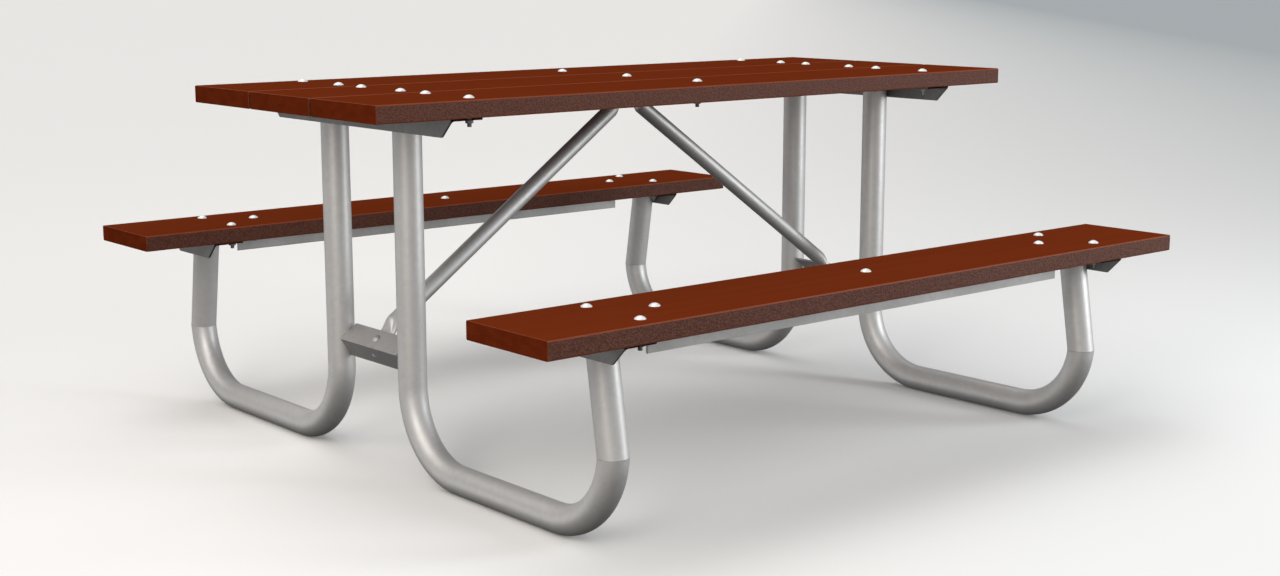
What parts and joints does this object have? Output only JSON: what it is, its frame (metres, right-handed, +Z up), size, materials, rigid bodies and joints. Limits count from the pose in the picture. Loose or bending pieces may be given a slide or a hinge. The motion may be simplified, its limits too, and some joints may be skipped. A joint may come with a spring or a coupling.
{
  "type": "picnic table",
  "caption": "Rectangular picnic table with two attached bench seats: plastic-lumber planks bolted to bent galvanised steel tube end frames with diagonal braces.",
  "frame": {"origin": "on the ground, at the middle of the table", "axes": "+X along the planks, +Y from the front seat to the back seat, +Z up"},
  "size_m": [1.8288, 1.7604, 0.8108],
  "materials": {
    "plank": "red-brown recycled plastic lumber, satin, with finely embossed edges",
    "steel_tube": "hot-dip galvanised, satin",
    "steel_angle": "hot-dip galvanised, dull",
    "bolt": "bright zinc plated"
  },
  "bodies": {
    "root": {"top_plank_front": "plank", "top_plank_middle": "plank", "top_plank_back": "plank", "seat_plank_front": "plank", "seat_plank_back": "plank", "top_cross_angle_left": "steel_angle", "top_cross_angle_right": "steel_angle", "centre_batten": "steel_angle", "seat_bracket_front_left": "steel_angle", "seat_bracket_front_right": "steel_angle", "seat_bracket_back_left": "steel_angle", "seat_bracket_back_right": "steel_angle", "seat_stiffener_front": "steel_angle", "seat_stiffener_back": "steel_angle", "leg_tie_angle_left": "steel_angle", "leg_tie_angle_right": "steel_angle", "leg_tube_front_left": "steel_tube", "leg_tube_front_right": "steel_tube", "leg_tube_back_left": "steel_tube", "leg_tube_back_right": "steel_tube", "seat_riser_front_left": "steel_tube", "seat_riser_front_right": "steel_tube", "seat_riser_back_left": "steel_tube", "seat_riser_back_right": "steel_tube", "brace_tube_left": "steel_tube", "brace_tube_right": "steel_tube", "brace_bolt_left": "bolt", "brace_bolt_right": "bolt", "top_bolt_front_1": "bolt", "top_bolt_front_2": "bolt", "top_bolt_front_3": "bolt", "top_bolt_front_4": "bolt", "top_bolt_front_5": "bolt", "top_bolt_middle_1": "bolt", "top_bolt_middle_2": "bolt", "top_bolt_middle_3": "bolt", "top_bolt_middle_4": "bolt", "top_bolt_middle_5": "bolt", "top_bolt_back_1": "bolt", "top_bolt_back_2": "bolt", "top_bolt_back_3": "bolt", "top_bolt_back_4": "bolt", "top_bolt_back_5": "bolt", "seat_bolt_front_1": "bolt", "seat_bolt_front_2": "bolt", "seat_bolt_front_3": "bolt", "seat_bolt_front_4": "bolt", "seat_bolt_front_5": "bolt", "seat_bolt_front_6": "bolt", "seat_bolt_front_7": "bolt", "seat_bolt_back_1": "bolt", "seat_bolt_back_2": "bolt", "seat_bolt_back_3": "bolt", "seat_bolt_back_4": "bolt", "seat_bolt_back_5": "bolt", "seat_bolt_back_6": "bolt", "seat_bolt_back_7": "bolt"}
  },
  "joints": []
}
